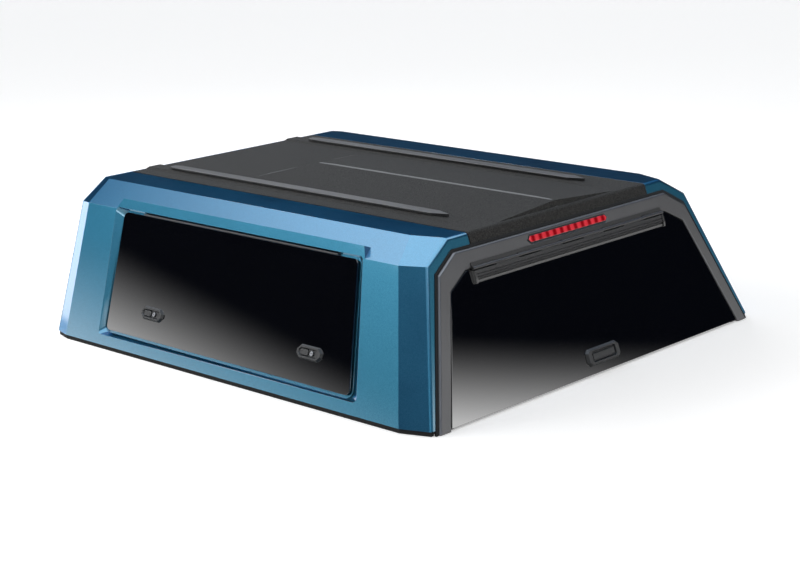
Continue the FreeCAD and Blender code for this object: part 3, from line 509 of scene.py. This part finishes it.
def floor():
    """A pale floor that keeps the shadow, and is lifted to white for what sees it directly or in gloss."""
    mesh = bpy.data.meshes.new("floor")
    size = 30.0
    corners = [(-size, -size, 0), (size, -size, 0), (size, size, 0), (-size, size, 0)]
    mesh.from_pydata(corners, [], [(0, 1, 2, 3)])
    plane = bpy.data.objects.new("floor", mesh)
    plane.location.z = -0.0005
    bpy.context.scene.collection.objects.link(plane)
    finish = Finish("floor", (0.9, 0.9, 0.9), 0.9)
    rays = finish.tree.nodes.new("ShaderNodeLightPath")
    seen = None
    for kind in ("Is Camera Ray", "Is Glossy Ray", "Is Transmission Ray"):
        lift = finish.tree.nodes.new("ShaderNodeMath")
        lift.operation = "MULTIPLY_ADD"
        finish.tree.links.new(rays.outputs[kind], lift.inputs[0])
        lift.inputs[1].default_value = FLOOR_LIFT
        lift.inputs[2].default_value = 0.0
        if seen:
            finish.tree.links.new(seen, lift.inputs[2])
        seen = lift.outputs["Value"]
    finish.set("Emission Color", WHITE)
    finish.wire(seen, "Emission Strength")
    plane.data.materials.append(finish.material)


def softbox(name, place, target, size, power):
    """A rectangular lamp that faces its target."""
    data = bpy.data.lights.new(name, "AREA")
    data.shape = "RECTANGLE"
    data.size, data.size_y = size
    data.energy = power
    lamp = bpy.data.objects.new(name, data)
    lamp.location = place
    lamp.rotation_euler = (Vector(target) - Vector(place)).to_track_quat("-Z", "Y").to_euler()
    bpy.context.scene.collection.objects.link(lamp)


class Studio:
    """The world's shader: white for the camera, and a soft studio for light and gloss."""

    def __init__(self):
        world = bpy.data.worlds.new("studio")
        bpy.context.scene.world = world
        world.use_nodes = True
        self.tree = world.node_tree
        self.tree.nodes.clear()

    def add(self, kind, **values):
        node = self.tree.nodes.new(kind)
        for socket, value in values.items():
            node.inputs[socket.replace("_", " ")].default_value = value
        return node

    def math(self, operation, first, second):
        node = self.tree.nodes.new("ShaderNodeMath")
        node.operation = operation
        for i, value in enumerate((first, second)):
            if isinstance(value, float):
                node.inputs[i].default_value = value
            else:
                self.tree.links.new(value, node.inputs[i])
        return node.outputs["Value"]

    def step(self, height, ends, start, end, kind="SMOOTHSTEP"):
        """Goes from start at the first of ends to end at the second."""
        node = self.add("ShaderNodeMapRange", From_Min=ends[0], From_Max=ends[1], To_Min=start, To_Max=end)
        node.interpolation_type = kind
        self.tree.links.new(height, node.inputs["Value"])
        return node.outputs["Result"]

    def glow(self, direction, height, across):
        slope = self.tree.nodes.new("ShaderNodeVectorMath")
        slope.operation = "DOT_PRODUCT"
        slope.inputs[1].default_value = GLOW_SLOPE
        self.tree.links.new(direction, slope.inputs[0])
        squared = self.math("MULTIPLY", across, across)
        bulge = self.math("MULTIPLY", squared, GLOW_BULGE)
        level = self.step(self.math("SUBTRACT", slope.outputs["Value"], bulge), GLOW_FADE, 0.0, 1.0, "LINEAR")
        level = self.math("MULTIPLY", self.math("MULTIPLY", level, level), GLOW_LEVEL)
        level = self.math("MULTIPLY", level, self.step(squared, GLOW_SIDES, 0.0, 1.0))
        return self.math("MULTIPLY", level, self.step(height, GLOW_CAP, 1.0, 0.0))

    def light(self, strength, colour):
        node = self.add("ShaderNodeBackground", Color=colour)
        if isinstance(strength, float):
            node.inputs["Strength"].default_value = strength
        else:
            self.tree.links.new(strength, node.inputs["Strength"])
        return node.outputs["Background"]

    def sum(self, first, second):
        node = self.tree.nodes.new("ShaderNodeAddShader")
        self.tree.links.new(first, node.inputs[0])
        self.tree.links.new(second, node.inputs[1])
        return node.outputs["Shader"]

    def mix(self, factor, first, second):
        node = self.tree.nodes.new("ShaderNodeMixShader")
        self.tree.links.new(factor, node.inputs["Fac"])
        self.tree.links.new(first, node.inputs[1])
        self.tree.links.new(second, node.inputs[2])
        return node.outputs["Shader"]

    def build(self):
        direction = self.add("ShaderNodeTexCoord").outputs["Generated"]
        split = self.add("ShaderNodeSeparateXYZ")
        self.tree.links.new(direction, split.inputs["Vector"])
        height = split.outputs["Z"]
        total = self.math("ADD", self.glow(direction, height, split.outputs["Y"]),
                          self.step(height, HORIZON_FADE, 1.0, 0.0))
        rays = self.add("ShaderNodeLightPath").outputs
        ceiling = self.light(self.step(height, CEILING_FADE, 0.0, CEILING_LEVEL), CEILING_TINT)
        sky = self.math("MULTIPLY", self.step(height, SKY_START, 0.0, SKY_LEVEL),
                        self.step(height, CEILING_FADE, 1.0, 0.0))
        walls = self.sum(self.light(WALL_LEVEL, WALL_TINT), self.light(sky, SKY_TINT))
        studio = self.sum(self.sum(walls, ceiling), self.light(total, WHITE))
        mirrored = self.math("MAXIMUM", rays["Is Glossy Ray"], rays["Is Transmission Ray"])
        shader = self.mix(mirrored, self.light(EVEN_LEVEL, WHITE), studio)
        shader = self.mix(rays["Is Camera Ray"], shader, self.light(1.0, WHITE))
        output = self.add("ShaderNodeOutputWorld")
        self.tree.links.new(shader, output.inputs["Surface"])


dress_nodes()
for shell in ("side_panel_left", "side_panel_right", "front_panel"):
    line_inside(nodes[shell])
# Painted shade on the tracks' upright faces, against the painted sheen of their tops.
for track in ("roof_track_left", "roof_track_right"):
    shade_track_sides(nodes[track])
key_cylinders()
for label, ends in CREASES.items():
    crease("roof_crease_" + label, *ends)
camera()
floor()
for lamp in LAMPS:
    softbox(*lamp)
Studio().build()
bpy.context.scene.view_settings.view_transform = "Standard"
